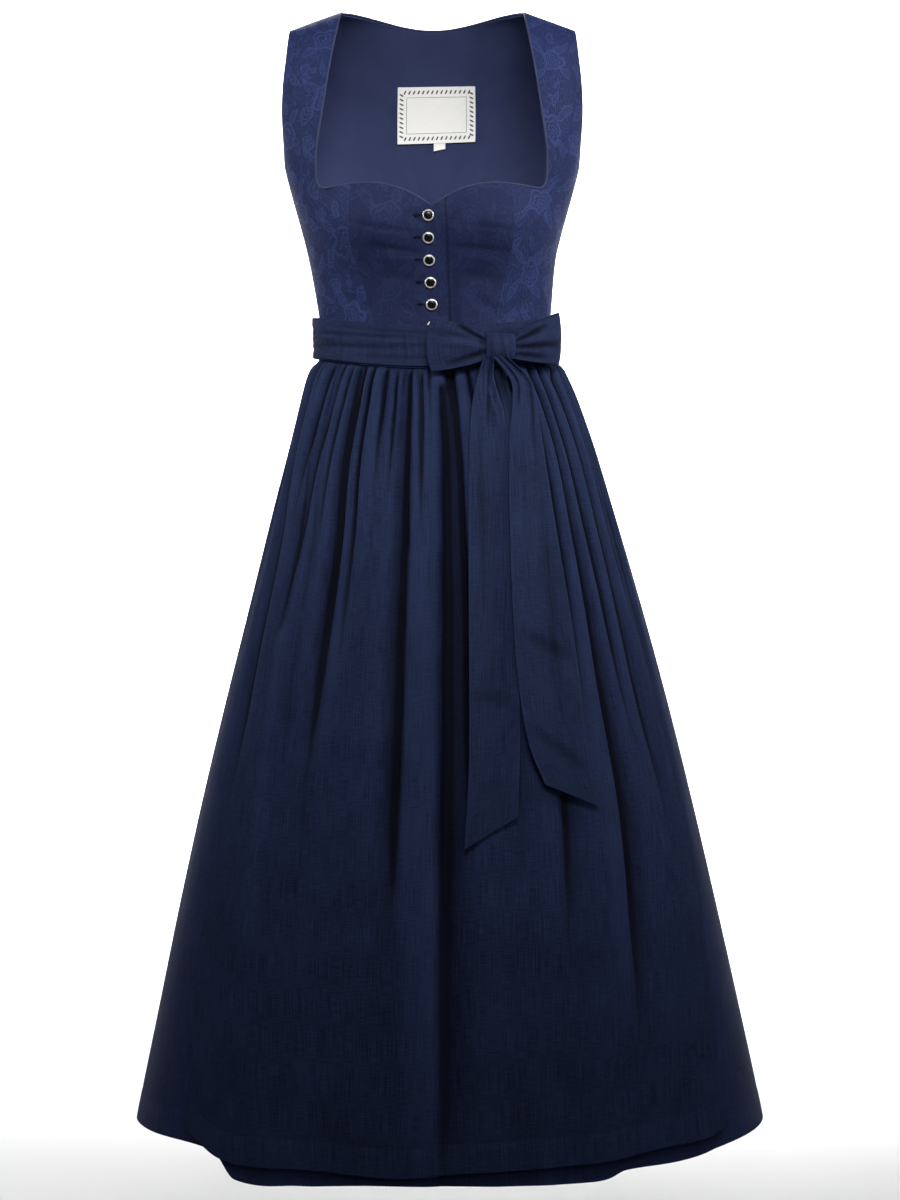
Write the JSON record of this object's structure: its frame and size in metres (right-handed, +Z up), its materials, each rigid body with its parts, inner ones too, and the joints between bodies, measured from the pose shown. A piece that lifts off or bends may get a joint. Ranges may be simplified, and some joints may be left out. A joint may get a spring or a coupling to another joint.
{
  "type": "dirndl with its apron",
  "caption": "Dirndl in the form it has when worn: fitted sleeveless bodice with a buttoned front, gathered full skirt, and an apron whose ties are wound round the waist and tied in a bow.",
  "frame": {"origin": "on the line over the two shoulders, midway between the highest points of the straps, where the wearer's shoulders hold the dress up", "axes": "+X towards the wearer's left, +Y towards the wearer's back, +Z up; the front of the dress faces -Y"},
  "size_m": [0.6591, 0.4839, 1.1922],
  "materials": {
    "bodice_cloth": "tone-on-tone figured weave with a soft sheen",
    "lining_cloth": "plain matt weave",
    "piping_cloth": "satin piping",
    "label_cloth": "woven label, bare",
    "button_metal": "silver-coloured metal rim",
    "button_stone": "polished black stone",
    "skirt_cloth": "matt plain weave",
    "apron_cloth": "slubbed weave with a faint sheen",
    "tie_cloth": "slubbed weave with a faint sheen"
  },
  "bodies": {
    "root": {"bodice_front_right": "bodice_cloth", "bodice_front_left": "bodice_cloth", "side_front_right": "bodice_cloth", "side_front_left": "bodice_cloth", "back_centre": "bodice_cloth", "side_back_right": "bodice_cloth", "side_back_left": "bodice_cloth", "lining_back_centre": "lining_cloth", "lining_side_back_right": "lining_cloth", "lining_side_back_left": "lining_cloth", "piping_front_right": "piping_cloth", "piping_front_left": "piping_cloth", "piping_back": "piping_cloth", "label": "label_cloth", "size_tab": "label_cloth", "button_rim_1": "button_metal", "button_rim_2": "button_metal", "button_rim_3": "button_metal", "button_rim_4": "button_metal", "button_rim_5": "button_metal", "button_rim_6": "button_metal", "button_stone_1": "button_stone", "button_stone_2": "button_stone", "button_stone_3": "button_stone", "button_stone_4": "button_stone", "button_stone_5": "button_stone", "button_stone_6": "button_stone", "skirt_front": "skirt_cloth", "skirt_back": "skirt_cloth", "apron_skirt": "apron_cloth", "apron_waistband": "apron_cloth", "apron_tie_wrap": "tie_cloth", "bow_loop_right": "tie_cloth", "bow_loop_left": "tie_cloth", "bow_knot": "tie_cloth", "tie_end_right": "tie_cloth", "tie_end_left": "tie_cloth"}
  },
  "joints": []
}
